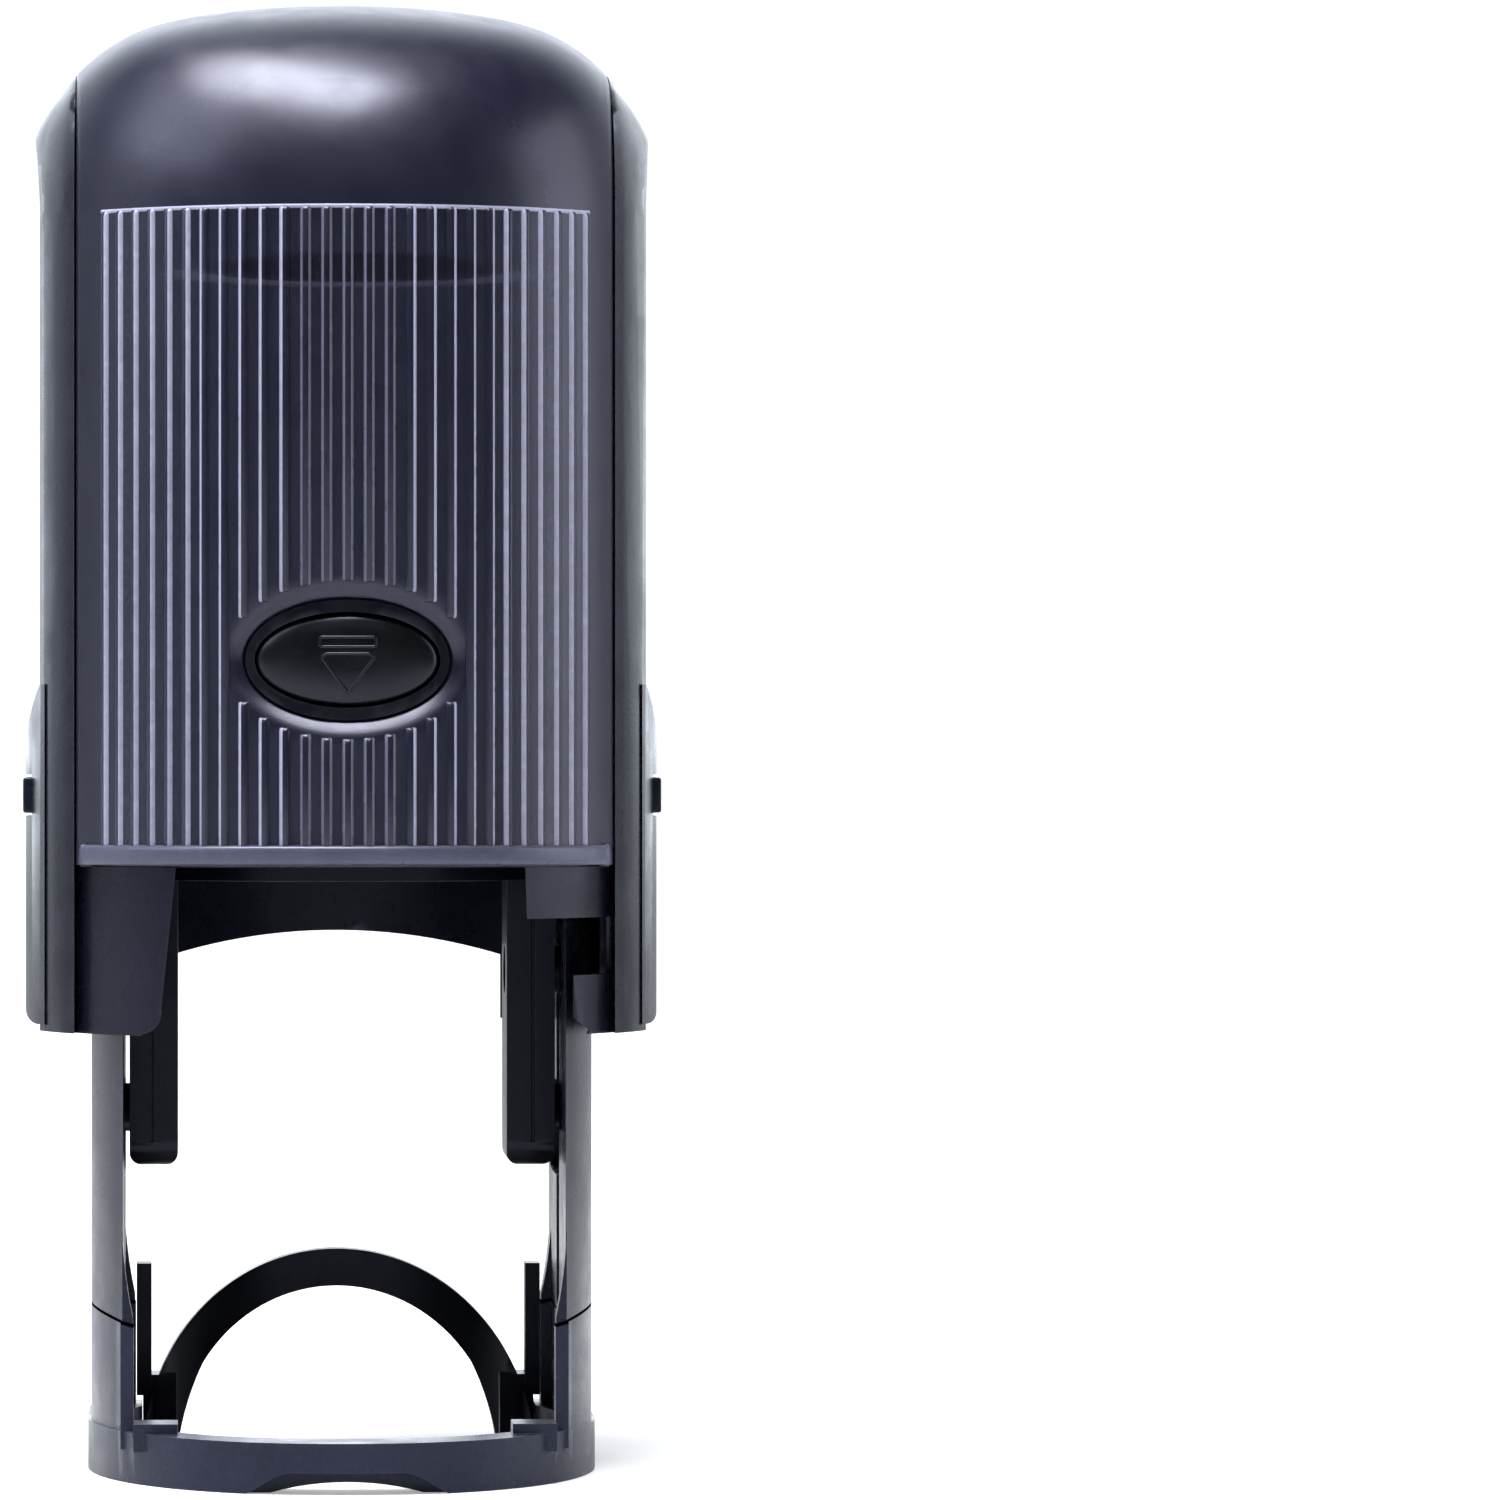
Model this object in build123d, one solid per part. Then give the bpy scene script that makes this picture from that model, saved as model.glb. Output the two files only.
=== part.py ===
from build123d import *
import os
from math import cos, sin, pi, sqrt, radians, hypot

# Self-inking round stamp. Millimetres, +Z up, origin at the bottom centre.
# The front faces -Y. The cap slides down over the frame and turns the die over.

# ---- driving dimensions -------------------------------------------------
HEIGHT = 91.0            # top of the dome at rest
CAP_R = 19.5             # cover skin, a cylinder about the vertical axis
RIB_PROUD = 0.2          # ribs stand proud of the skin
LIP_R = 19.9             # lip along the cover's lower edge
SIDE_X = 18.7            # flat upper sides of the cap
BULGE_X = 19.7           # lower side bulges
COVER_X = 16.4           # half width of the cover
COVER_T = 0.8            # cover wall
COVER_Z0 = 37.7          # cover's lower edge
LIP_H = 1.1
RIB_TOP = 77.4
RIB_COUNT = 27
RIB_PITCH = 1.27
RIB_W = 0.62
WALL_R_OUT = 18.55      # housing front and rear walls, under the cover
WALL_R_IN = 18.0
CAVITY_X = 17.2
CAP_Z0 = 27.4            # cap's lower edge at the sides
TRAVEL = 20.0            # cap stroke, 180 degrees of die turn
AXLE_Z = 31.0
AXLE_R = 1.5
FACE_H = 11.0            # die face above the axle
CAM_ARM = 8.6            # control pin below the axle
CAM_PIN_R = 1.5
DIE_R = 12.5             # 25 mm round text plate
STAR_R = 11.9
WEB_R = 13.0
ARM_X0, ARM_X1 = 10.2, 13.2
ARM_Y = 3.4
ARM_Z0 = 18.9
LEG_X0, LEG_X1 = 13.55, 15.6
SPLIT_IN, SPLIT_OUT = 9.5, 10.3   # slanted joint of leg and foot
FOOT_A, FOOT_B = 15.8, 18.5       # half axes of the foot's plan
FOOT_IN_A, FOOT_IN_B = 13.6, 15.3
FOOT_H = 3.1
PAD_Z = 43.6             # felt face
FRAME_TOP = 51.4
GUIDE_TOP = 61.0
BRIDGE_Z0, BRIDGE_Z1 = 82.4, 84.0
SPRING_R = 5.5
SPRING_WIRE = 0.9
SPRING_TURNS = 8.6
BUTTON_Z = 50.1
BUTTON_A, BUTTON_B = 5.5, 2.8
HOLE_A, HOLE_B = 6.25, 3.7
BEVEL_A, BEVEL_B = 7.4, 4.7
TAB_Z0, TAB_Z1 = 40.8, 43.0

os.makedirs("parts", exist_ok=True)


# ---- helpers ------------------------------------------------------------
def prism(path, axis, lo, hi):
    """Prism of a closed outline. A step is a point, ("arc", mid, end) or ("spline", points)."""
    put = {"x": lambda u, v: (lo, u, v), "y": lambda u, v: (u, lo, v), "z": lambda u, v: (u, v, lo)}[axis]
    way = {"x": (hi - lo, 0, 0), "y": (0, hi - lo, 0), "z": (0, 0, hi - lo)}[axis]
    edges, at = [], path[0]
    for step in list(path[1:]) + [path[0]]:
        if step[0] == "arc":
            edges.append(Edge.make_three_point_arc(put(*at), put(*step[1]), put(*step[2])))
            at = step[2]
        elif step[0] == "spline":
            edges.append(Edge.make_spline([put(*at)] + [put(*p) for p in step[1]]))
            at = step[1][-1]
        elif hypot(step[0] - at[0], step[1] - at[1]) > 1e-6:
            edges.append(Edge.make_line(put(*at), put(*step)))
            at = step
    return Solid.extrude(Face(Wire(edges)), Vector(*way))


def box(x0, x1, y0, y1, z0, z1):
    return prism([(x0, y0), (x1, y0), (x1, y1), (x0, y1)], "z", z0, z1)


def rod(x, y, r, z0, z1):
    return Solid.make_cylinder(r, z1 - z0, Plane((x, y, z0), z_dir=(0, 0, 1)))


def rod_x(y, z, r, x0, x1):
    return Solid.make_cylinder(r, x1 - x0, Plane((x0, y, z), z_dir=(1, 0, 0)))


def oval(a, b, axis, lo, hi, u=0.0, v=0.0):
    """Elliptic prism about (u, v)."""
    n = 24
    pts = [(u + a * cos(2 * pi * i / n), v + b * sin(2 * pi * i / n)) for i in range(n)]
    put = {"x": lambda p, q: (lo, p, q), "y": lambda p, q: (p, lo, q), "z": lambda p, q: (p, q, lo)}[axis]
    way = {"x": (hi - lo, 0, 0), "y": (0, hi - lo, 0), "z": (0, 0, hi - lo)}[axis]
    return Solid.extrude(Face(Wire([Edge.make_spline([put(*p) for p in pts], periodic=True)])), Vector(*way))


def round_plan(a, b, n, lo, hi):
    """Upright prism with a superellipse plan."""
    pts = []
    for i in range(32):
        u, v = cos(2 * pi * i / 32), sin(2 * pi * i / 32)
        pts.append((a * abs(u) ** (2 / n) * (1 if u >= 0 else -1), b * abs(v) ** (2 / n) * (1 if v >= 0 else -1), lo))
    return Solid.extrude(Face(Wire([Edge.make_spline(pts, periodic=True)])), Vector(0, 0, hi - lo))


def whole(shape):
    """One solid of a boolean's result."""
    solids = shape.solids()
    assert len(solids) == 1, len(solids)
    return solids[0]


def fuse(first, *others):
    return whole(first.fuse(*others).clean())


def cut(first, *tools):
    return whole(first.cut(*tools).clean())


def common(first, *others):
    for o in others:
        first = whole(first.intersect(o))
    return first


def both(shape):
    """The shape and its mirror image in X."""
    return shape, shape.mirror(Plane.YZ)


def save(name, *solids):
    shape = solids[0] if len(solids) == 1 else Compound(children=list(solids))
    shape.label = name
    export_step(shape, f"parts/{name}.step")


# ---- cap envelope -------------------------------------------------------
CROWN = [(0.0, 91.0), (2.5, 90.96), (5.0, 90.82), (7.5, 90.57), (10.0, 90.2), (12.0, 89.68),
         (13.4, 89.1), (15.0, 88.13), (16.4, 86.9), (17.5, 85.62), (18.4, 84.3), (19.1, 83.0)]


def crown_z(x, t):
    """Height of the crown at x, set in by t."""
    pts = []
    for i, (cx, cz) in enumerate(CROWN):
        a, b = CROWN[max(0, i - 1)], CROWN[min(len(CROWN) - 1, i + 1)]
        dx, dz = (1.0, 0.0) if i == 0 else (b[0] - a[0], b[1] - a[1])
        n = hypot(dx, dz)
        pts.append((cx + t * dz / n, cz - t * dx / n))
    x = abs(x)
    for (x1, z1), (x2, z2) in zip(pts, pts[1:]):
        if x <= x2:
            break
    return z1 + (z2 - z1) * (x - x1) / (x2 - x1)


BROW_HALF, BROW_R, BROW_Z = 19.4, 13.0, 77.2     # the faces are upright up to BROW_Z, then round over into the crown


def brow(n=9):
    """Side profile over the top, front to rear."""
    cy = BROW_HALF - BROW_R
    end = 75.75
    half = [(cy + BROW_R * cos(radians(end * i / n)), BROW_Z + BROW_R * sin(radians(end * i / n))) for i in range(n + 1)]
    half += [(y, 52.0 + sqrt(39.0 ** 2 - y * y)) for y in (6.4, 3.2)]
    return [(-y, z) for y, z in half] + [(0.0, HEIGHT)] + [(y, z) for y, z in reversed(half)]


def dome(r, t, x_max, z0):
    """Solid under the dome: round in plan with radius r, its top set in by t, cut off flat at x_max."""
    share = [x for x in (0.0, 3.5, 7.0, 10.0, 12.5, 14.5, 16.4, 17.6, 18.5) if x < x_max - 0.4] + [x_max]
    sections = []
    for x in [-x for x in reversed(share[1:])] + share:
        half = sqrt(r * r - x * x)
        tall = (crown_z(x, t) - BROW_Z) / (HEIGHT - BROW_Z)
        top = [(x, y * half / BROW_HALF, BROW_Z + (z - BROW_Z) * tall) for y, z in brow()]
        over = Edge.make_spline(top, tangents=[(0, 0, 1), (0, 0, -1)])
        sections.append(Wire([Edge.make_line((x, -half, z0), top[0]), over, Edge.make_line(top[-1], (x, half, z0)),
                              Edge.make_line((x, half, z0), (x, -half, z0))]))
    return Solid.make_loft(sections)


def disc(r, z0, z1):
    return rod(0, 0, r, z0, z1)


# ---- cover --------------------------------------------------------------
skin = dome(CAP_R, 0.0, COVER_X, COVER_Z0)
hollow = dome(CAP_R - COVER_T, 0.85, COVER_X + 0.3, COVER_Z0 - 2)
rib_solids = []
for i in range(RIB_COUNT):
    a = (i - (RIB_COUNT - 1) / 2) * RIB_PITCH / CAP_R
    half = RIB_W / 2
    for face in (1, -1):
        u, v = (cos(a), sin(a)), (sin(a), -cos(a))
        pts = [(s * half * u[0] + d * v[0], face * (s * half * u[1] + d * v[1]))
               for s, d in ((-1, CAP_R - 0.3), (-0.62, CAP_R + RIB_PROUD), (0.62, CAP_R + RIB_PROUD), (1, CAP_R - 0.3))]
        rib_solids.append(prism(pts, "z", COVER_Z0 + LIP_H - 0.05, RIB_TOP))
lip_ring = disc(LIP_R, COVER_Z0, COVER_Z0 + LIP_H).cut(disc(CAP_R - 0.3, COVER_Z0 - 1, COVER_Z0 + 5))
lips = [whole(lip_ring.intersect(box(-16.1, 16.1, *(y), COVER_Z0, COVER_Z0 + LIP_H))) for y in ((-21, -5), (5, 21))]
cover = skin.fuse(*rib_solids, *lips)
cover = cover.intersect(box(-COVER_X, COVER_X, -21, 21, COVER_Z0, 95))
cover = whole(cover).cut(hollow)
cover = whole(cover)


def bevel_hole(y_out, y_in):
    """Oval hole that opens out towards the outside."""
    n = 24
    def ring(a, b, y):
        return Wire([Edge.make_spline([(a * cos(2 * pi * i / n), y, BUTTON_Z + b * sin(2 * pi * i / n)) for i in range(n)], periodic=True)])
    return Solid.make_loft([ring(BEVEL_A, BEVEL_B, y_out), ring(HOLE_A, HOLE_B, y_in)])


for face in (-1, 1):
    cover = cover.cut(bevel_hole(face * 19.95, face * 18.95), oval(HOLE_A, HOLE_B, "y", min(face * 17.5, face * 19.2), max(face * 17.5, face * 19.2), 0, BUTTON_Z))
    cover = whole(cover)
save("cap_cover", cover)

# ---- housing ------------------------------------------------------------
OUT_R = 19.6
# the flats narrow to SIDE_X below the shoulders
shoulder = [(SIDE_X, CAP_Z0), (SIDE_X, 78.0), ("arc", (18.85, 80.6), (19.1, 83.0)), (19.1, 95), (-19.1, 95), (-19.1, 83.0),
            ("arc", (-18.85, 80.6), (-SIDE_X, 78.0)), (-SIDE_X, CAP_Z0)]
outer = common(dome(OUT_R, 0.0, 19.1, CAP_Z0), prism(shoulder, "y", -25, 25))
# seat for the cover, front, rear and over the top
seat = dome(WALL_R_OUT, 1.3, COVER_X + 0.5, 30)
keep_sides = outer.cut(box(-COVER_X - 0.12, COVER_X + 0.12, -25, 25, 20, 96))
housing = seat.fuse(*keep_sides.solids())
# lower front and rear walls continue to the cap's lower edge
low_wall = common(disc(18.95, CAP_Z0, COVER_Z0 - 0.1), box(-16.9, 16.9, -25, 25, CAP_Z0, COVER_Z0 - 0.1))
housing = whole(housing.fuse(low_wall).clean())
bulges = []
for sx in (1, -1):
    seg = disc(BULGE_X, 27.8, 48.75).cut(box(-SIDE_X + 0.3, SIDE_X - 0.3, -25, 25, 20, 60))
    for s in seg.solids():
        if s.center().X * sx > 0:
            top = prism([(sx * 18.0, 48.75), (sx * SIDE_X, 48.75), ("arc", (sx * 19.42, 46.6), (sx * BULGE_X, 43.6)), (sx * BULGE_X, 28.7),
                         ("arc", (sx * 19.45, 28.05), (sx * 18.9, 27.8)), (sx * 18.0, 27.8)], "y", -10, 10)
            bulges.append(common(s, top))
housing = fuse(housing, *bulges)
cavity = dome(WALL_R_IN, 2.0, CAVITY_X, CAP_Z0 - 1)
housing = cut(housing, cavity)
# lower edges: front
front_open = prism([(-10.3, COVER_Z0 - 0.1), (-11.2, 28.9), ("arc", (-11.55, 27.9), (-12.4, 27.5)), (-12.4, 26.0), (13.9, 26.0),
                    (14.9, 27.6), (13.9, 28.4), (13.9, 31.0), (16.3, 31.0), (16.3, 34.5), (10.9, 34.5), (10.8, COVER_Z0 - 0.1)], "y", -25, -8)
rear_open = prism([(-10.6, 26.0), (-10.6, 31.5), ("arc", (0.0, 33.0), (10.6, 31.5)), (10.6, 26.0)], "y", 8, 25)
housing = cut(housing, front_open, rear_open)
# windows for the yoke's tabs, oval holes with a collar, and a lens-shaped grip recess
windows = [box(17.0, 21.0, -4.2, 4.2, TAB_Z0 - 0.2, TAB_Z1 + 0.2), box(-21.0, -17.0, -4.2, 4.2, TAB_Z0 - 0.2, TAB_Z1 + 0.2)]
housing = cut(housing, *windows)
for face in (-1, 1):
    collar = oval(HOLE_A - 0.1, HOLE_B - 0.1, "y", min(face * 17.9, face * 19.0), max(face * 17.9, face * 19.0), 0, BUTTON_Z)
    collar = cut(common(collar, disc(19.05, 40, 60)), disc(18.2, 40, 60))
    housing = fuse(housing, collar)
    housing = cut(housing, oval(BUTTON_A + 0.08, BUTTON_B + 0.08, "y", min(face * 15, face * 21), max(face * 15, face * 21), 0, BUTTON_Z))
recess = prism([(-8.6, 73.6), ("arc", (0.0, 74.75), (8.6, 73.6)), ("arc", (0.0, 72.45), (-8.6, 73.6))], "y", -21, -12)
housing = cut(housing, recess)
save("cap_housing", housing)

# ---- lock buttons -------------------------------------------------------
for name, face in (("front_lock_button", -1), ("rear_lock_button", 1)):
    lo, hi = sorted((face * 16.2, face * 19.6))
    stem = common(oval(BUTTON_A, BUTTON_B, "y", lo, hi, 0, BUTTON_Z), disc(19.3, 40, 60))
    crown_cut = rod_x(face * (19.3 - 16.0), BUTTON_Z, 16.0, -8, 8)
    stem = common(stem, crown_cut)
    lo, hi = sorted((face * 15.9, face * 17.15))
    flange = oval(BUTTON_A + 0.9, BUTTON_B + 0.8, "y", lo, hi, 0, BUTTON_Z)
    flange = common(flange, disc(17.95, 40, 60))
    button = fuse(stem, flange)
    # raised bar and triangle
    y_face = face * 19.3
    marks = [box(-1.7, 1.7, *sorted((face * 18.9, face * 19.42)), 51.0, 51.4),
             prism([(-1.6, 50.2), (1.6, 50.2), (0.0, 48.2)], "y", *sorted((face * 18.9, face * 19.42)))]
    if face < 0:
        button = fuse(button, *marks)
    save(name, button)

# ---- yoke ---------------------------------------------------------------
def yoke_arm(s):
    plate = prism([(-3.8, BRIDGE_Z1), (-3.8, 70.0), (-5.0, 66.0), (-5.0, 33.0), ("arc", (0.0, 27.9), (5.0, 33.0)), (5.0, 66.0), (3.8, 70.0), (3.8, BRIDGE_Z1)], "x",
                  *sorted((s * 15.8, s * 17.0)))
    tab = box(*sorted((s * 17.0, s * 19.8)), -3.8, 3.8, TAB_Z0, TAB_Z1)
    return cut(fuse(plate, tab), rod_x(0, AXLE_Z, AXLE_R, *sorted((s * 15.0, s * 18.0))))


bridge = box(-17.0, 17.0, -3.8, 3.8, BRIDGE_Z0, BRIDGE_Z1)
plate_round = rod(0, 0, 8.0, BRIDGE_Z0, BRIDGE_Z1)
cup = cut(rod(0, 0, 7.4, 80.0, BRIDGE_Z0), rod(0, 0, SPRING_R + SPRING_WIRE / 2 + 0.25, 79.0, BRIDGE_Z0))
yoke = fuse(yoke_arm(1), bridge, yoke_arm(-1), plate_round, cup)
for s in (1, -1):
    yoke = cut(yoke, prism([(s * 15.0, 84.1), (s * 17.1, 81.3), (s * 17.1, 84.1)], "y", -9, 9))
save("yoke", yoke)

for name, s in (("pivot_pin_right", 1), ("pivot_pin_left", -1)):
    save(name, rod_x(0, AXLE_Z, AXLE_R, *sorted((s * 10.4, s * 17.0))))

# ---- frame --------------------------------------------------------------
def leg_plan(s, grow=0.0):
    """Plan of the right (s=1) or left leg: flat inside, rounded outside."""
    a, b, r, n = 15.6 + grow, 18.3 + grow, 17.9, 2.1
    x0 = LEG_X0
    front = lambda x: -b * (1 - (x / a) ** n) ** (1 / n)
    yf = front(x0)
    yr = sqrt(r * r - x0 * x0)
    ys = sqrt(r * r - a * a)
    fm = (14.9, front(14.9))
    xm = 14.7
    rm = (xm, sqrt(r * r - xm * xm))
    pts = [(s * x0, yf), ("arc", (s * fm[0], fm[1]), (s * a, 0.0)), (s * a, ys), ("arc", (s * rm[0], rm[1]), (s * x0, yr))]
    return pts


def slant(s, z_far, up):
    """Everything above or below the slanted joint on one side."""
    k = (SPLIT_OUT - SPLIT_IN) / (15.6 - 12.9)
    at = lambda x: SPLIT_IN + k * (x - 12.9)
    return prism([(s * 12.0, at(12.0)), (s * 18.0, at(18.0)), (s * 18.0, z_far), (s * 12.0, z_far)], "y", -20, 20)


def leg(s):
    body = prism(leg_plan(s), "z", 8.0, FRAME_TOP)
    flares = [prism([(s * 12.95, 8.0), (s * (LEG_X0 + 0.05), 8.0), (s * (LEG_X0 + 0.05), 15.2), ("arc", (s * 13.36, 12.4), (s * 12.95, 10.0))], "y", *y)
              for y in ((-9.9, -8.6), (8.6, 10.9))]
    body = fuse(body, *flares)
    body = common(body, slant(s, 80, True))
    tongue = box(*sorted((s * 14.0, s * 14.8)), -5.0, 5.0, 4.0, 12.0)
    body = fuse(body, tongue)
    ledge = prism([(s * 12.95, PAD_Z - 0.6), (s * 12.95, 43.9), (s * (LEG_X0 + 0.1), 43.9), (s * (LEG_X0 + 0.1), PAD_Z - 1.2)], "y", -9.0, 10.5)
    body = fuse(body, ledge)
    slot = prism([(-AXLE_R - 0.1, AXLE_Z), ("arc", (0.0, AXLE_Z + AXLE_R + 0.1), (AXLE_R + 0.1, AXLE_Z)),
                  (AXLE_R + 0.1, AXLE_Z - TRAVEL), ("arc", (0.0, AXLE_Z - TRAVEL - AXLE_R - 0.1), (-AXLE_R - 0.1, AXLE_Z - TRAVEL))],
                 "x", *sorted((s * 12.5, s * 16.5)))
    cam_lo, cam_hi = 18.0, 24.0
    q, y1 = 1.4, CAM_ARM + CAM_PIN_R + 0.1
    pocket = prism([(-1.6, cam_lo + q), ("arc", (-1.6 + q * 0.293, cam_lo + q * 0.293), (-1.6 + q, cam_lo)), (y1 - q, cam_lo),
                    ("arc", (y1 - q * 0.293, cam_lo + q * 0.293), (y1, cam_lo + q)), (y1, cam_hi - q),
                    ("arc", (y1 - q * 0.293, cam_hi - q * 0.293), (y1 - q, cam_hi)), (-1.6 + q, cam_hi),
                    ("arc", (-1.6 + q * 0.293, cam_hi - q * 0.293), (-1.6, cam_hi - q))], "x", *sorted((s * 13.0, s * 14.45)))
    return cut(body, slot, pocket)


top = common(box(-15.3, 15.3, -9.6, 13.9, 50.1, FRAME_TOP), disc(17.7, 40, 60))
back = common(box(-13.5, 13.5, 13.3, 14.3, 44.0, FRAME_TOP), disc(17.7, 40, 60))
back = fuse(back, box(-10.0, 10.0, 13.0, 14.3, 50.1, FRAME_TOP))
guide = rod(0, 0, SPRING_R - SPRING_WIRE / 2 - 0.3, FRAME_TOP, GUIDE_TOP)
frame = fuse(top, leg(1), leg(-1), back, guide)
frame = cut(frame, rod(0, 0, 3.4, 49.0, GUIDE_TOP + 1))
save("inner_frame", frame)

# ---- foot ---------------------------------------------------------------
ring = round_plan(FOOT_A, FOOT_B, 2.1, 0.0, FOOT_H)
rear_feet = [prism(leg_plan(s, 0.2), "z", 0.0, FOOT_H) for s in (1, -1)]
posts = [common(prism(leg_plan(s), "z", 2.0, 12.0), slant(s, -10, False)) for s in (1, -1)]
flanges = []
for s in (1, -1):
    for y0, y1 in ((-10.2, -8.4), (8.6, 10.9)):
        flanges.append(common(prism([(s * 12.9, y0), (s * 13.7, y0), (s * 13.7, y1), (s * 12.9, y1)], "z", 2.0, 12.0), slant(s, -10, False)))
foot = ring.fuse(*rear_feet)
foot = foot.cut(round_plan(FOOT_IN_A, FOOT_IN_B, 2.2, -1.0, FOOT_H + 1))
foot = whole(foot)
foot = foot.cut(box(-12.5, 12.5, 4.0, 25.0, -1.0, 12.0))
foot = whole(foot)
foot = fuse(foot, *posts, *flanges)
foot = cut(foot, *[box(*sorted((s * 13.95, s * 14.85)), -5.1, 5.1, 3.8, 12.0) for s in (1, -1)],
           *[prism([(-AXLE_R - 0.1, 12.5), (-AXLE_R - 0.1, AXLE_Z - TRAVEL), ("arc", (0.0, AXLE_Z - TRAVEL - AXLE_R - 0.1), (AXLE_R + 0.1, AXLE_Z - TRAVEL)), (AXLE_R + 0.1, 12.5)],
                   "x", *sorted((s * 12.5, s * 16.5))) for s in (1, -1)])
# scoop under the front rim, and small ledges inside it
scoop = prism([(-6.3, -0.5), (-6.1, 0.0), ("spline", [(-5.3, 0.45), (-4.3, 1.05), (-3.0, 1.3)]), (3.0, 1.3),
               ("spline", [(4.3, 1.05), (5.3, 0.45), (6.1, 0.0)]), (6.3, -0.5)], "y", -20.0, -16.6)
scoop2 = prism([(-5.0, -0.5), (-4.6, 0.0), ("arc", (0.0, 0.62), (4.6, 0.0)), (5.0, -0.5)], "y", -20.0, -12.0)
foot = cut(foot, scoop, scoop2)
foot = fuse(foot, *[box(*sorted((s * 10.2, s * 12.9)), -12.2, -9.2, 2.0, 3.7) for s in (1, -1)])
save("foot_ring", foot)

# ---- rear arch ----------------------------------------------------------
arch = prism([(12.4, 0.3), ("arc", (0.0, 12.5), (-12.4, 0.3)), (-10.2, 0.3), ("spline", [(-9.7, 2.6), (-8.6, 5.4)]), ("arc", (0.0, 10.1), (8.6, 5.4)),
              ("spline", [(9.7, 2.6), (10.2, 0.3)])], "y", 2.0, 20.0)
tube = round_plan(15.4, 16.7, 2.2, 0.0, 14.0).cut(round_plan(13.7, 15.0, 2.2, -1.0, 15.0))
arch = whole(arch.intersect(whole(tube)))
blocks = [fuse(box(*sorted((s * 10.3, s * 12.45)), 8.9, 12.2, 0.3, 4.9), box(*sorted((s * 11.9, s * 12.85)), 8.7, 10.9, 3.6, 12.0)) for s in (1, -1)]
arch = fuse(arch, *blocks)
save("rear_arch", arch)

# ---- ink pad ------------------------------------------------------------
CASE_Z0, CASE_Z1 = 43.95, 50.05
case = common(box(-13.45, 13.45, -9.3, 13.2, CASE_Z0, CASE_Z1), disc(17.4, 40, 60))
case = fuse(case, common(box(-13.0, 13.0, -13.3, -9.3, CASE_Z0, CASE_Z1), disc(15.6, 40, 60)))
case = fuse(case, common(box(-6.0, 6.0, -14.6, -12.0, 45.4, 49.6), disc(15.0, 40, 60)))
case = cut(case, rod(0, 0, 12.85, CASE_Z0 - 1, 48.6))
save("pad_cassette", case)
save("ink_pad", rod(0, 0, 12.8, PAD_Z, 48.6))

# ---- return spring ------------------------------------------------------
z0, z1 = FRAME_TOP + SPRING_WIRE / 2, BRIDGE_Z0 - SPRING_WIRE / 2
path = Wire([Edge.make_helix((z1 - z0) / SPRING_TURNS, z1 - z0, SPRING_R, center=(0, 0, z0))])
start = path @ 0
tangent = path % 0
section = Plane(origin=start, z_dir=tangent) * Circle(SPRING_WIRE / 2)
spring = sweep(section, path=path, is_frenet=True)
save("return_spring", whole(spring))

# ---- die holder ---------------------------------------------------------
def holder_arm(s):
    x0, x1 = sorted((s * ARM_X0, s * ARM_X1))
    side = prism([(-ARM_Y, 37.6), (-ARM_Y, ARM_Z0 + 1.6), ("arc", (-ARM_Y + 0.47, ARM_Z0 + 0.47), (-ARM_Y + 1.6, ARM_Z0)), (ARM_Y - 1.6, ARM_Z0),
                  ("arc", (ARM_Y - 0.47, ARM_Z0 + 0.47), (ARM_Y, ARM_Z0 + 1.6)), (ARM_Y, 37.6)], "x", x0, x1)
    front = prism([(s * ARM_X0, 38.0), (s * ARM_X0, ARM_Z0 + 0.8), ("arc", (s * (ARM_X0 + 0.235), ARM_Z0 + 0.235), (s * (ARM_X0 + 0.8), ARM_Z0)), (s * (ARM_X1 - 0.8), ARM_Z0),
                   ("arc", (s * (ARM_X1 - 0.235), ARM_Z0 + 0.235), (s * ARM_X1, ARM_Z0 + 0.8)), (s * ARM_X1, 38.0)], "y", -6, 6)
    arm = common(side, front)
    pin = rod_x(0, AXLE_Z - CAM_ARM, CAM_PIN_R, *sorted((s * 13.0, s * 14.35)))
    arm = fuse(arm, pin)
    groove = [box(*sorted((s * 11.75, s * 11.95)), *y, 20.4, 36.9) for y in ((-3.6, -3.22), (3.22, 3.6))]
    return cut(arm, rod_x(0, AXLE_Z, AXLE_R + 0.05, *sorted((s * 9.0, s * 14.0))), *groove)


WEB_Z0 = 36.7
web = disc(WEB_R, WEB_Z0, WEB_Z0 + 1.8)
holder = fuse(web, holder_arm(1), holder_arm(-1))
holder = common(holder, box(-20, 20, -20, 20, 10, WEB_Z0 + 1.8))
save("die_holder", holder)
save("text_plate", disc(12.7, 38.5, 39.8))
save("die_cushion", disc(DIE_R, 39.8, 40.4))
star = []
for i in range(10):
    r = STAR_R if i % 2 == 0 else STAR_R * 0.487
    a = -pi / 2 + i * pi / 5
    star.append((r * cos(a), r * sin(a)))
die = fuse(disc(DIE_R, 40.4, 41.1), prism(star, "z", 41.1, AXLE_Z + FACE_H))
save("rubber_die", die)
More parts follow.
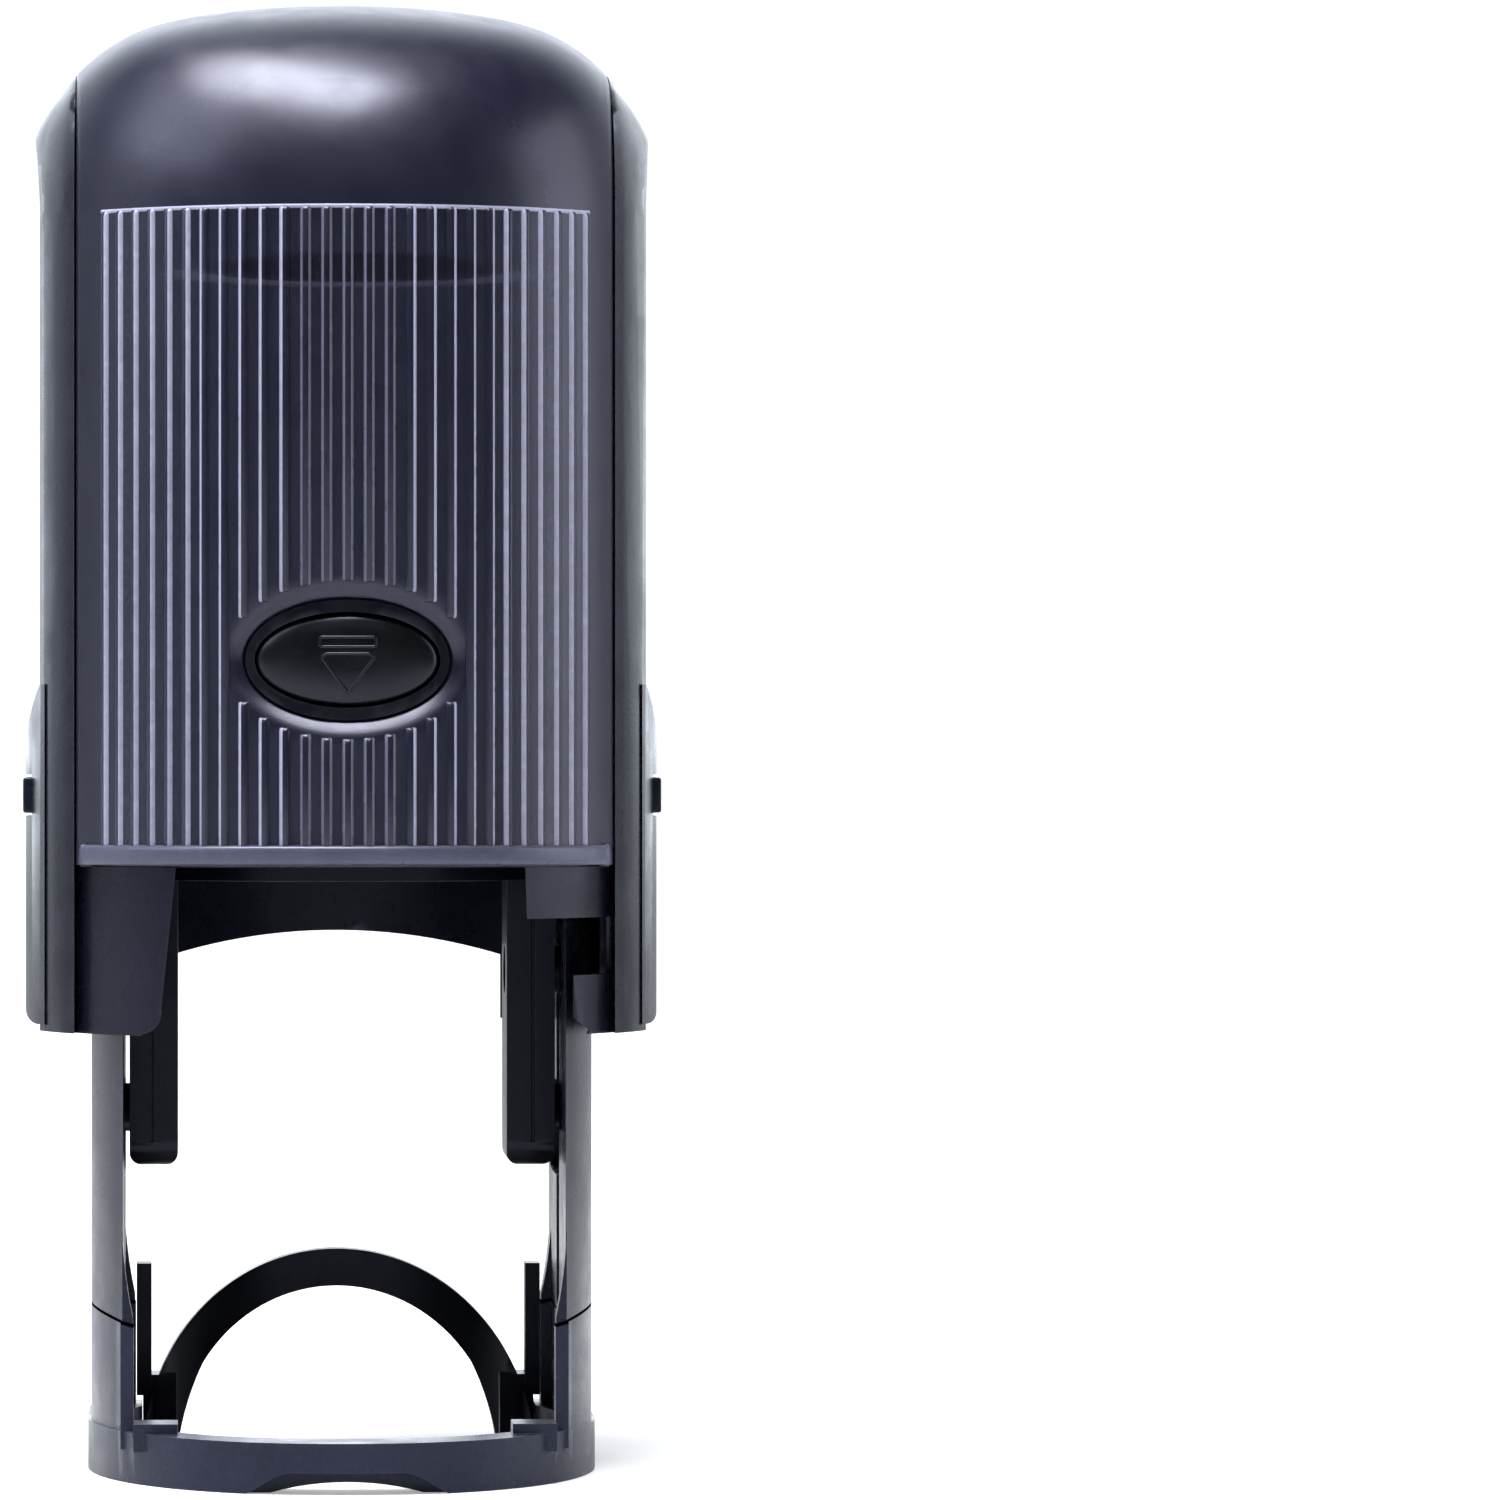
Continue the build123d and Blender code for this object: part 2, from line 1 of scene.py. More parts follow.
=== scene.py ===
import bpy, bmesh, math, random
from math import sin, cos, pi, sqrt, radians
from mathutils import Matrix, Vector


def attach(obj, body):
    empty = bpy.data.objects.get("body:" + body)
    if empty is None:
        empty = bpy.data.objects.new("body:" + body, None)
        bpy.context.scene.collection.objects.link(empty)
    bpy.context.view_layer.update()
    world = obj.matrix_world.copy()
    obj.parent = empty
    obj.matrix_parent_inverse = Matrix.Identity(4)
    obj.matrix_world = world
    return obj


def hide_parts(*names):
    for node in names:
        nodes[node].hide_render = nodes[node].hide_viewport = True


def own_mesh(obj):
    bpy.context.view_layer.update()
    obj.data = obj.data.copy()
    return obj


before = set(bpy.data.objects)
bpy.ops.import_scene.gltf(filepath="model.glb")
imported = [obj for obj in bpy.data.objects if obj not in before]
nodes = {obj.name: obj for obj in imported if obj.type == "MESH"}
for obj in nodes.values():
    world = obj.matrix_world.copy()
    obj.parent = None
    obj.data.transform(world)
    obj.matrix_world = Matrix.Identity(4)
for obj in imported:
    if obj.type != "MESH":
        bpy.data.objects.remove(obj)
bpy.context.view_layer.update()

MM = 0.001
random.seed(7)

# ---- sizes, in millimetres, the same as the CAD's ----
HEIGHT, CAP_R, RIB_PROUD, LIP_R = 91.0, 19.5, 0.2, 19.9
COVER_X, COVER_Z0, LIP_H, RIB_TOP = 16.4, 37.7, 1.1, 77.4
RIB_COUNT, RIB_PITCH = 27, 1.27
BUTTON_Z, BUTTON_A, BUTTON_B = 50.1, 5.5, 2.8
HOLE_A, HOLE_B, BEVEL_A, BEVEL_B = 6.25, 3.7, 7.4, 4.7
SPRING_R, SPRING_WIRE = 5.5, 0.9
FRAME_TOP, BRIDGE_Z0 = 51.4, 82.4
CROWN = [(0.0, 91.0), (2.5, 90.96), (5.0, 90.82), (7.5, 90.57), (10.0, 90.2), (12.0, 89.68),
         (13.4, 89.1), (15.0, 88.13), (16.4, 86.9), (17.5, 85.62), (18.4, 84.3), (19.1, 83.0)]
BROW_HALF, BROW_R, BROW_Z = 19.4, 13.0, 77.2


# ---- materials ----
def new_mat(name):
    m = bpy.data.materials.new(name)
    m.use_nodes = True
    t = m.node_tree
    t.nodes.clear()
    out = t.nodes.new("ShaderNodeOutputMaterial")
    p = t.nodes.new("ShaderNodeBsdfPrincipled")
    t.links.new(p.outputs[0], out.inputs[0])
    return m, t, p, out


def noise(t, scale, detail=3.0, rough=0.55, stretch=None):
    co = t.nodes.new("ShaderNodeTexCoord")
    n = t.nodes.new("ShaderNodeTexNoise")
    n.inputs["Scale"].default_value = scale
    n.inputs["Detail"].default_value = detail
    n.inputs["Roughness"].default_value = rough
    if stretch:
        mp = t.nodes.new("ShaderNodeMapping")
        mp.inputs["Scale"].default_value = stretch
        t.links.new(co.outputs["Object"], mp.inputs[0])
        t.links.new(mp.outputs[0], n.inputs["Vector"])
    else:
        t.links.new(co.outputs["Object"], n.inputs["Vector"])
    return n.outputs["Fac"]


def remap(t, value, lo, hi, a=0.3, b=0.7):
    r = t.nodes.new("ShaderNodeMapRange")
    r.inputs["From Min"].default_value = a
    r.inputs["From Max"].default_value = b
    r.inputs["To Min"].default_value = lo
    r.inputs["To Max"].default_value = hi
    t.links.new(value, r.inputs["Value"])
    return r.outputs[0]


def mix_colour(t, fac, a, b):
    m = t.nodes.new("ShaderNodeMix")
    m.data_type = "RGBA"
    for s, v in ((m.inputs[6], a), (m.inputs[7], b)):
        if isinstance(v, (tuple, list)):
            s.default_value = (*v[:3], 1.0)
        else:
            t.links.new(v, s)
    if isinstance(fac, float):
        m.inputs[0].default_value = fac
    else:
        t.links.new(fac, m.inputs[0])
    return m.outputs[2]


def plastic(name, base, rough=0.38, grain=4200.0, bump=0.10, vary=0.14, wear=0.5, spec=0.20, coat=0.0, seam=None):
    """Moulded plastic: fine spark-eroded grain, slow colour drift, paler worn edges, uneven gloss."""
    m, t, p, out = new_mat(name)
    slow = noise(t, 120.0, 2.0)
    dark = tuple(c * (1 - vary) for c in base)
    light = tuple(min(1.0, c * (1 + vary) + 0.0006) for c in base)
    col = mix_colour(t, remap(t, slow, 0.0, 1.0), dark, light)
    speck = remap(t, noise(t, grain * 0.6, 2.0), 0.0, 1.0, 0.40, 0.72)
    col = mix_colour(t, remap(t, speck, 0.0, 0.22, 0.0, 1.0), col, tuple(min(1.0, c * 1.9 + 0.003) for c in base))
    # worn edges, from how far a bevelled normal leans away from the real one
    if wear > 0:
        bev = t.nodes.new("ShaderNodeBevel")
        bev.samples = 4
        bev.inputs["Radius"].default_value = 0.00022
        geo = t.nodes.new("ShaderNodeNewGeometry")
        dot = t.nodes.new("ShaderNodeVectorMath")
        dot.operation = "DOT_PRODUCT"
        t.links.new(bev.outputs[0], dot.inputs[0])
        t.links.new(geo.outputs["True Normal"], dot.inputs[1])
        edge = remap(t, dot.outputs["Value"], 1.0, 0.0, 0.80, 0.975)
        brk = remap(t, noise(t, 900.0, 3.0), 0.2, 1.0)
        mul = t.nodes.new("ShaderNodeMath")
        mul.operation = "MULTIPLY"
        t.links.new(edge, mul.inputs[0])
        t.links.new(brk, mul.inputs[1])
        mul2 = t.nodes.new("ShaderNodeMath")
        mul2.operation = "MULTIPLY"
        t.links.new(mul.outputs[0], mul2.inputs[0])
        mul2.inputs[1].default_value = wear
        col = mix_colour(t, mul2.outputs[0], col, tuple(min(1.0, c * 1.7 + 0.016) for c in base))
    if seam:
        # dark parting line where leg and foot meet, rising outwards
        (xa, za), (xb, zb), half = seam
        co = t.nodes.new("ShaderNodeTexCoord")
        sep = t.nodes.new("ShaderNodeSeparateXYZ")
        t.links.new(co.outputs["Object"], sep.inputs[0])

        def calc(op, a, b=None):
            k = t.nodes.new("ShaderNodeMath")
            k.operation = op
            for s, v in zip(k.inputs, (a, b)):
                if v is None:
                    continue
                if isinstance(v, float):
                    s.default_value = v
                else:
                    t.links.new(v, s)
            return k.outputs[0]

        line = calc("MULTIPLY", calc("SUBTRACT", calc("ABSOLUTE", sep.outputs["X"]), xa), (zb - za) / (xb - xa))
        off = calc("ABSOLUTE", calc("SUBTRACT", calc("SUBTRACT", sep.outputs["Z"], za), line))
        gap = remap(t, off, 1.0, 0.0, half * 0.6, half)
        col = mix_colour(t, gap, col, (0.0004, 0.0004, 0.0007))
        t.links.new(remap(t, gap, spec, 0.0, 0.0, 1.0), p.inputs["Specular IOR Level"])
    t.links.new(col, p.inputs["Base Color"])
    t.links.new(remap(t, noise(t, 300.0, 3.0), rough - 0.06, rough + 0.07), p.inputs["Roughness"])
    p.inputs["Specular IOR Level"].default_value = spec
    p.inputs["Specular Tint"].default_value = (0.74, 0.80, 1.0, 1.0)
    p.inputs["Coat Weight"].default_value = coat
    b = t.nodes.new("ShaderNodeBump")
    b.inputs["Strength"].default_value = bump
    b.inputs["Distance"].default_value = 0.00006
    t.links.new(noise(t, grain, 2.0), b.inputs["Height"])
    t.links.new(b.outputs[0], p.inputs["Normal"])
    return m


def smoke(name, base, alpha=0.86, rough=0.30, bump=0.05, spec=0.5, lens=False):
    """Smoky translucent moulding: partly see-through, with faint flow lines and fine mottling."""
    m, t, p, out = new_mat(name)
    flow = noise(t, 160.0, 2.0, stretch=(1.0, 1.0, 0.25))
    col = mix_colour(t, remap(t, flow, 0.0, 1.0), tuple(c * 0.86 for c in base), tuple(c * 1.14 for c in base))
    fine = remap(t, noise(t, 1500.0, 2.0), 0.0, 0.35, 0.45, 0.75)
    col = mix_colour(t, fine, col, tuple(min(1, c * 1.5 + 0.001) for c in base))
    level = None
    if lens:
        # painted shade and highlight for the long lens-shaped slot in the housing's front, seen through the smoky wall:
        # the slot is painted dark, with a painted highlight on its lower rim
        co = t.nodes.new("ShaderNodeTexCoord")
        sub = t.nodes.new("ShaderNodeVectorMath")
        sub.operation = "SUBTRACT"
        sub.inputs[1].default_value = (0.0004, -0.0185, 0.0736)
        t.links.new(co.outputs["Object"], sub.inputs[0])
        mul = t.nodes.new("ShaderNodeVectorMath")
        mul.operation = "MULTIPLY"
        mul.inputs[1].default_value = (1 / 0.0088, 50.0, 1 / 0.0009)
        t.links.new(sub.outputs[0], mul.inputs[0])
        ln = t.nodes.new("ShaderNodeVectorMath")
        ln.operation = "LENGTH"
        t.links.new(mul.outputs[0], ln.inputs[0])
        dark = remap(t, ln.outputs["Value"], 1.0, 0.0, 0.80, 1.10)
        rim_highlight = remap(t, ln.outputs["Value"], 0.0, 1.0, 0.95, 1.12)
        rim_highlight_fade = remap(t, ln.outputs["Value"], 1.0, 0.0, 1.15, 1.45)
        sep = t.nodes.new("ShaderNodeSeparateXYZ")
        t.links.new(mul.outputs[0], sep.inputs[0])
        low = remap(t, sep.outputs["Z"], 0.55, 0.0, -0.35, 0.15)
        for other in (rim_highlight_fade, low):
            k = t.nodes.new("ShaderNodeMath")
            k.operation = "MULTIPLY"
            t.links.new(rim_highlight, k.inputs[0])
            t.links.new(other, k.inputs[1])
            rim_highlight = k.outputs[0]
        # painted shade: the slot darkened and its gloss lowered; painted highlight: a pale band along its lower rim
        col = mix_colour(t, dark, col, tuple(c * 0.5 for c in base))
        col = mix_colour(t, rim_highlight, col, (0.045, 0.047, 0.072))
        level = remap(t, dark, spec, spec * 0.65, 0.0, 1.0)
    t.links.new(col, p.inputs["Base Color"])
    t.links.new(remap(t, noise(t, 420.0, 3.0), rough - 0.03, rough + 0.04), p.inputs["Roughness"])
    p.inputs["Specular IOR Level"].default_value = spec
    if level is not None:
        t.links.new(level, p.inputs["Specular IOR Level"])
    p.inputs["Specular Tint"].default_value = (0.80, 0.81, 1.0, 1.0)
    p.inputs["Alpha"].default_value = alpha
    b = t.nodes.new("ShaderNodeBump")
    b.inputs["Strength"].default_value = bump
    b.inputs["Distance"].default_value = 0.00005
    t.links.new(noise(t, 3200.0, 2.0), b.inputs["Height"])
    t.links.new(b.outputs[0], p.inputs["Normal"])
    return m


def felt(name, base):
    m, t, p, out = new_mat(name)
    col = mix_colour(t, remap(t, noise(t, 2500.0, 5.0, 0.7), 0.0, 1.0), tuple(c * 0.5 for c in base), tuple(c * 1.9 + 0.004 for c in base))
    t.links.new(col, p.inputs["Base Color"])
    t.links.new(remap(t, noise(t, 350.0, 3.0), 0.55, 0.95), p.inputs["Roughness"])
    p.inputs["Sheen Weight"].default_value = 0.25
    b = t.nodes.new("ShaderNodeBump")
    b.inputs["Strength"].default_value = 0.7
    b.inputs["Distance"].default_value = 0.00015
    t.links.new(noise(t, 3800.0, 6.0, 0.75), b.inputs["Height"])
    t.links.new(b.outputs[0], p.inputs["Normal"])
    return m


def rubber(name, base):
    m, t, p, out = new_mat(name)
    col = mix_colour(t, remap(t, noise(t, 500.0, 4.0), 0.0, 1.0), tuple(c * 0.6 for c in base), tuple(c * 1.5 + 0.004 for c in base))
    t.links.new(col, p.inputs["Base Color"])
    t.links.new(remap(t, noise(t, 900.0, 3.0), 0.42, 0.68), p.inputs["Roughness"])
    b = t.nodes.new("ShaderNodeBump")
    b.inputs["Strength"].default_value = 0.25
    b.inputs["Distance"].default_value = 0.00008
    t.links.new(noise(t, 3000.0, 3.0), b.inputs["Height"])
    t.links.new(b.outputs[0], p.inputs["Normal"])
    return m


def steel(name):
    m, t, p, out = new_mat(name)
    col = mix_colour(t, remap(t, noise(t, 700.0, 4.0), 0.0, 1.0), (0.36, 0.36, 0.37), (0.62, 0.62, 0.64))
    t.links.new(col, p.inputs["Base Color"])
    p.inputs["Metallic"].default_value = 1.0
    t.links.new(remap(t, noise(t, 1500.0, 3.0), 0.18, 0.36), p.inputs["Roughness"])
    b = t.nodes.new("ShaderNodeBump")
    b.inputs["Strength"].default_value = 0.15
    b.inputs["Distance"].default_value = 0.00004
    t.links.new(noise(t, 4000.0, 2.0, stretch=(1, 1, 6)), b.inputs["Height"])
    t.links.new(b.outputs[0], p.inputs["Normal"])
    return m


SEAM = ((0.0129, 0.0095), (0.0156, 0.0103), 0.00014)     # two points of the leg and foot joint, half width
# the cover's colour carries the painted shade and painted rim highlight of the slot behind it
M_COVER = smoke("smoky_cover", (0.0070, 0.0076, 0.0190), alpha=0.84, rough=0.33, spec=0.62, lens=True)
# pale rib colours are painted highlights for the rib flanks that catch the side lights; the mid one is a dimmer painted
# highlight for the middle ribs
M_RIB_HIGHLIGHT = smoke("smoky_rib_painted_highlight", (0.29, 0.29, 0.40), alpha=0.97, rough=0.28)
M_RIB_MID_HIGHLIGHT = smoke("smoky_rib_mid_painted_highlight", (0.10, 0.10, 0.145), alpha=0.95, rough=0.28)
M_LIP = smoke("smoky_lip", (0.060, 0.062, 0.098), alpha=0.94, rough=0.30)
M_HOUSING = plastic("slate_housing", (0.0052, 0.0060, 0.0115), rough=0.26, bump=0.12)
M_FOOT = plastic("slate_foot", (0.0150, 0.0172, 0.0320), rough=0.28, bump=0.10, seam=SEAM)
M_FRAME = plastic("slate_frame", (0.0080, 0.0092, 0.0180), rough=0.27, bump=0.10, seam=SEAM)
M_BLACK = plastic("black_plastic", (0.0024, 0.0027, 0.0052), rough=0.34, bump=0.10, spec=0.20)
M_DARK = plastic("dark_plastic", (0.0050, 0.0056, 0.0090), rough=0.42, bump=0.12)
M_BUTTON = plastic("button_plastic", (0.0020, 0.0021, 0.0026), rough=0.27, bump=0.06, wear=0.3, spec=0.34)
M_PLATE = plastic("plate_grey", (0.22, 0.22, 0.23), rough=0.5)
M_FELT = felt("ink_felt", (0.010, 0.010, 0.014))
M_FOAM = rubber("cushion_foam", (0.16, 0.16, 0.17))
M_RUBBER = rubber("die_rubber", (0.030, 0.028, 0.030))
M_STEEL = steel("spring_wire")


# ---- mesh helpers ----
def make(name, verts, faces, mats, body, smooth=True, face_mats=None):
    me = bpy.data.meshes.new(name)
    me.from_pydata([tuple(c * MM for c in v) for v in verts], [], faces)
    me.validate()
    me.update()
    o = bpy.data.objects.new(name, me)
    bpy.context.scene.collection.objects.link(o)
    for m in (mats if isinstance(mats, (list, tuple)) else [mats]):
        me.materials.append(m)
    for i, f in enumerate(me.polygons):
        f.use_smooth = smooth
        if face_mats:
            f.material_index = face_mats[i]
    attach(o, body)
    return o


def add_mod(o, kind, name, **kw):
    m = o.modifiers.new(name, kind)
    for k, v in kw.items():
        setattr(m, k, v)
    return m


def soften(o, width=0.18, segments=2, angle=32, dissolve=1.0):
    """Rounds a CAD node's edges: merge, drop the tessellation on flats, bevel, weighted normals."""
    add_mod(o, "WELD", "weld", merge_threshold=2e-6)
    add_mod(o, "DECIMATE", "flats", decimate_type="DISSOLVE", angle_limit=radians(dissolve))
    add_mod(o, "BEVEL", "edges", width=width * MM, segments=segments, limit_method="ANGLE", angle_limit=radians(angle),
            use_clamp_overlap=True, harden_normals=False)
    add_mod(o, "WEIGHTED_NORMAL", "normals", keep_sharp=False)
    for f in o.data.polygons:
        f.use_smooth = True


def dress(name, mat, bevel=0.0, **kw):
    o = nodes[name]
    o.data.materials.clear()
    o.data.materials.append(mat)
    if bevel:
        soften(o, bevel, **kw)
    return o


def crown_z(x):
    """Smooth crown height at x, a cubic through the crown's points."""
    x = abs(x)
    pts = [(-a, b) for a, b in reversed(CROWN[1:3])] + CROWN
    for i in range(2, len(pts) - 1):
        if x <= pts[i + 1][0] or i == len(pts) - 2:
            break
    (x0, z0), (x1, z1), (x2, z2) = pts[i - 1], pts[i], pts[i + 1]
    x3, z3 = pts[i + 2] if i + 2 < len(pts) else (2 * x2 - x1, 2 * z2 - z1 - 0.3)
    h = x2 - x1
    m1, m2 = (z2 - z0) / (x2 - x0) * h, (z3 - z1) / (x3 - x1) * h
    s = (x - x1) / h
    return (2 * s**3 - 3 * s**2 + 1) * z1 + (s**3 - 2 * s**2 + s) * m1 + (3 * s**2 - 2 * s**3) * z2 + (s**3 - s**2) * m2


def brow_point(a):
    """Side profile over the top. a runs from 0 at the front through 0.5 at the top to 1 at the rear."""
    s = -1.0 if a < 0.5 else 1.0
    u = a * 2 if a < 0.5 else (1 - a) * 2
    first = 0.66
    if u < first:
        ang = radians(75.75) * u / first
        y, z = 6.4 + BROW_R * cos(ang), BROW_Z + BROW_R * sin(ang)
    else:
        k = (u - first) / (1 - first)
        ang = math.asin(0.2462) * (1 - k)
        y, z = 39.0 * sin(ang), 52.0 + 39.0 * cos(ang)
    return s * y, z


def dome_point(x, a, r=CAP_R):
    half = sqrt(r * r - x * x)
    y, z = brow_point(a)
    return (x, y * half / BROW_HALF, BROW_Z + (z - BROW_Z) * (crown_z(x) - BROW_Z) / (HEIGHT - BROW_Z))


# ---- cover skin ----
def cover_skin():
    """Front and rear faces, each with an oval opening, joined over the dome."""
    nx = 76
    xs = [CAP_R * sin(math.asin(COVER_X / CAP_R) * (2 * i / nx - 1)) for i in range(nx + 1)]
    verts, faces, index = [], [], {}

    def v(p):
        key = tuple(round(c, 5) for c in p)
        if key not in index:
            index[key] = len(verts)
            verts.append(p)
        return index[key]

    def quad(a, b, c, d):
        ids = []
        for p in (a, b, c, d):
            i = v(p)
            if i not in ids:
                ids.append(i)
        if len(ids) > 2:
            faces.append(ids)

    # dome
    na = 96
    for i in range(nx):
        for j in range(na):
            quad(dome_point(xs[i], j / na), dome_point(xs[i + 1], j / na), dome_point(xs[i + 1], (j + 1) / na), dome_point(xs[i], (j + 1) / na))
    # upright faces
    i0 = min(range(nx + 1), key=lambda i: abs(xs[i] + 8.6))
    i1 = nx - i0
    zlo, zhi, nz = 44.0, 56.4, 30
    rows = [COVER_Z0 + (zlo - COVER_Z0) * k / 8 for k in range(9)]
    mid = [zlo + (zhi - zlo) * k / nz for k in range(nz + 1)]
    top = [zhi + (BROW_Z - zhi) * k / 20 for k in range(21)]
    for s in (-1, 1):
        def p(x, z, r=CAP_R):
            return (x, s * sqrt(r * r - x * x) * (1 if r == CAP_R else 1), z)

        def face(a, b, c, d):
            quad(*((a, b, c, d) if s < 0 else (d, c, b, a)))

        for i in range(nx):
            for zs in (rows, mid, top):
                if zs is mid and i0 <= i < i1:
                    continue
                for za, zb in zip(zs, zs[1:]):
                    face(p(xs[i], za), p(xs[i + 1], za), p(xs[i + 1], zb), p(xs[i], zb))
        # ring of patches from the rectangle to the oval
        edge = [(xs[i], zlo) for i in range(i0, i1)] + [(xs[i1], z) for z in mid[:-1]] + \
               [(xs[i], zhi) for i in range(i1, i0, -1)] + [(xs[i0], z) for z in reversed(mid[1:])]
        # (share of the way from the rectangle to the bevel's outer line, then through the bevel)
        rings = []
        for k in range(5):
            rings.append(("out", k / 4))
        for k in range(1, 9):
            rings.append(("bevel", k / 8))
        grid = []
        for kind, f in rings:
            line = []
            for ex, ez in edge:
                ang = math.atan2((ez - BUTTON_Z) / BEVEL_B, ex / BEVEL_A)
                ox, oz = BEVEL_A * cos(ang), BUTTON_Z + BEVEL_B * sin(ang)
                if kind == "out":
                    x, z, d = ex + (ox - ex) * f, ez + (oz - ez) * f, 0.0
                else:
                    ix, iz = HOLE_A * cos(ang), BUTTON_Z + HOLE_B * sin(ang)
                    x, z = ox + (ix - ox) * f, oz + (iz - oz) * f
                    d = 0.62 * f ** 1.35
                r = CAP_R - d
                line.append((x, s * sqrt(r * r - x * x), z))
            grid.append(line)
        n = len(edge)
        for la, lb in zip(grid, grid[1:]):
            for k in range(n):
                face(la[k], la[(k + 1) % n], lb[(k + 1) % n], lb[k])
    return verts, faces


verts, faces = cover_skin()
cover = make("cover_shell", verts, faces, M_COVER, "cap")
add_mod(cover, "SOLIDIFY", "wall", thickness=0.0007, offset=-1.0, use_even_offset=True)
add_mod(cover, "BEVEL", "rims", width=0.00012, segments=2, limit_method="ANGLE", angle_limit=radians(50))


# ---- ribs ----
def ribs():
    verts, faces, rib_highlight_slots = [], [], []

    def bar(face, ang, z0, z1, cut0, cut1):
        """One rib from z0 to z1; its ends ease into the skin over 0.25, or into the oval's bevel."""
        prof = [(-0.36, -0.06), (-0.33, 0.0), (-0.25, 0.09), (-0.18, 0.17), (-0.10, 0.20), (0.0, 0.205), (0.10, 0.20), (0.18, 0.17), (0.25, 0.09), (0.33, 0.0), (0.36, -0.06)]
        ease = 0.30
        zs = [z0, z0 + ease * 0.35, z0 + ease, (z0 + z1) / 2, z1 - ease, z1 - ease * 0.35, z1]
        hs = [0.0, 0.7, 1.0, 1.0, 1.0, 0.7, 0.0]
        base = len(verts)
        for z, h in zip(zs, hs):
            for u, d in prof:
                rr = CAP_R + (d + 0.06) * h - 0.06
                a = ang + u / CAP_R
                verts.append((rr * sin(a), face * -rr * cos(a) if face > 0 else rr * cos(a) * 1.0, z))
        m = len(prof)
        for j in range(len(zs) - 1):
            for k in range(m - 1):
                q = [base + j * m + k, base + j * m + k + 1, base + (j + 1) * m + k + 1, base + (j + 1) * m + k]
                faces.append(q if face > 0 else q[::-1])
                # painted highlight: one flank of each rib is painted pale where the side lights catch it: the inner one
                # near the sides, else the outer; the middle ribs get a dimmer painted highlight on both flanks
                if abs(ang) < 0.15:
                    rib_highlight_slots.append(1 if 3 <= k <= m - 5 else 2)
                elif (ang < 0) == (abs(ang) < 0.50):
                    rib_highlight_slots.append(0 if k <= 3 else 1)
                else:
                    rib_highlight_slots.append(0 if k >= m - 5 else 1)
        # closed underneath
        for j in range(len(zs) - 1):
            q = [base + (j + 1) * m, base + (j + 1) * m + m - 1, base + j * m + m - 1, base + j * m]
            faces.append(q if face > 0 else q[::-1])
            rib_highlight_slots.append(1)
        e0 = [base + k for k in range(m)]
        e1 = [base + (len(zs) - 1) * m + k for k in range(m)]
        faces.append(e0[::-1] if face > 0 else e0)
        faces.append(e1 if face > 0 else e1[::-1])
        rib_highlight_slots.extend([1, 1])

    # the step is given the pale rib colour, a painted highlight along the line where the ribs end
    for face in (1, -1):                # shallow step where the ribs end
        half, n, base = 0.5 * RIB_PITCH * (RIB_COUNT - 1) / CAP_R + 0.018, 90, len(verts)
        prof = [(-0.03, -0.16), (0.03, -0.07), (0.045, 0.0), (0.03, 0.07), (-0.03, 0.16)]
        for i in range(n + 1):
            a = half * (2 * i / n - 1)
            z = RIB_TOP - 0.30 * cos(a) + 0.16
            for d, dz in prof:
                rr = CAP_R + d
                verts.append((rr * sin(a), -face * rr * cos(a), z + dz))
        m = len(prof)
        for i in range(n):
            for k in range(m - 1):
                q = [base + i * m + k, base + (i + 1) * m + k, base + (i + 1) * m + k + 1, base + i * m + k + 1]
                faces.append(q if face > 0 else q[::-1])
                rib_highlight_slots.append(0)
            q = [base + i * m + m - 1, base + (i + 1) * m + m - 1, base + (i + 1) * m, base + i * m]
            faces.append(q if face > 0 else q[::-1])
            rib_highlight_slots.append(0)
        faces.append([base + k for k in range(m)][::-1])
        faces.append([base + n * m + k for k in range(m)])
        rib_highlight_slots.extend([0, 0])
    for face in (1, -1):
        for i in range(RIB_COUNT):
            ang = (i - (RIB_COUNT - 1) / 2) * RIB_PITCH / CAP_R
            x = CAP_R * sin(ang)
            top = RIB_TOP - 0.30 * cos(ang) + 0.20
            low = COVER_Z0 + LIP_H - 0.25
            reach = BEVEL_A - 0.05
            if abs(x) < reach:
                h = BEVEL_B * sqrt(1 - (x / reach) ** 2)
                if h > 0.25:
                    bar(face, ang, low, BUTTON_Z - h, 0, 0)
                    bar(face, ang, BUTTON_Z + h, top, 0, 0)
                    continue
            bar(face, ang, low, top, 0, 0)
    return verts, faces, rib_highlight_slots


verts, faces, rib_highlight_slots = ribs()
rib = make("cover_ribs", verts, faces, [M_RIB_HIGHLIGHT, M_COVER, M_RIB_MID_HIGHLIGHT], "cap", face_mats=rib_highlight_slots)


# ---- lip ----
def lips():
    verts, faces = [], []
    prof = [(19.35, 38.95), (19.6, 38.93), (19.8, 38.86), (19.88, 38.72), (19.9, 38.5), (19.9, 38.0), (19.86, 37.8), (19.74, 37.7), (19.2, 37.7), (19.2, 38.95)]
    for face in (1, -1):
        half = math.asin(16.15 / 19.9)
        n = 72
        base = len(verts)
        for i in range(n + 1):
            a = half * (2 * i / n - 1)
            lift = 0.16 * cos(a / half * pi / 2)
            for r, z in prof:
                verts.append((r * sin(a), -face * r * cos(a), z + (lift if z < 38.2 else lift * 0.3)))
        m = len(prof)
        for i in range(n):
            for k in range(m):
                q = [base + i * m + k, base + (i + 1) * m + k, base + (i + 1) * m + (k + 1) % m, base + i * m + (k + 1) % m]
                faces.append(q if face < 0 else q[::-1])
        e0 = [base + k for k in range(m)]
        e1 = [base + n * m + k for k in range(m)]
        faces.append(e0 if face > 0 else e0[::-1])
        faces.append(e1[::-1] if face > 0 else e1)
    return verts, faces


verts, faces = lips()
lip = make("cover_lip", verts, faces, M_LIP, "cap")
add_mod(lip, "BEVEL", "rims", width=0.0001, segments=2, limit_method="ANGLE", angle_limit=radians(60))
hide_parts("cap_cover")


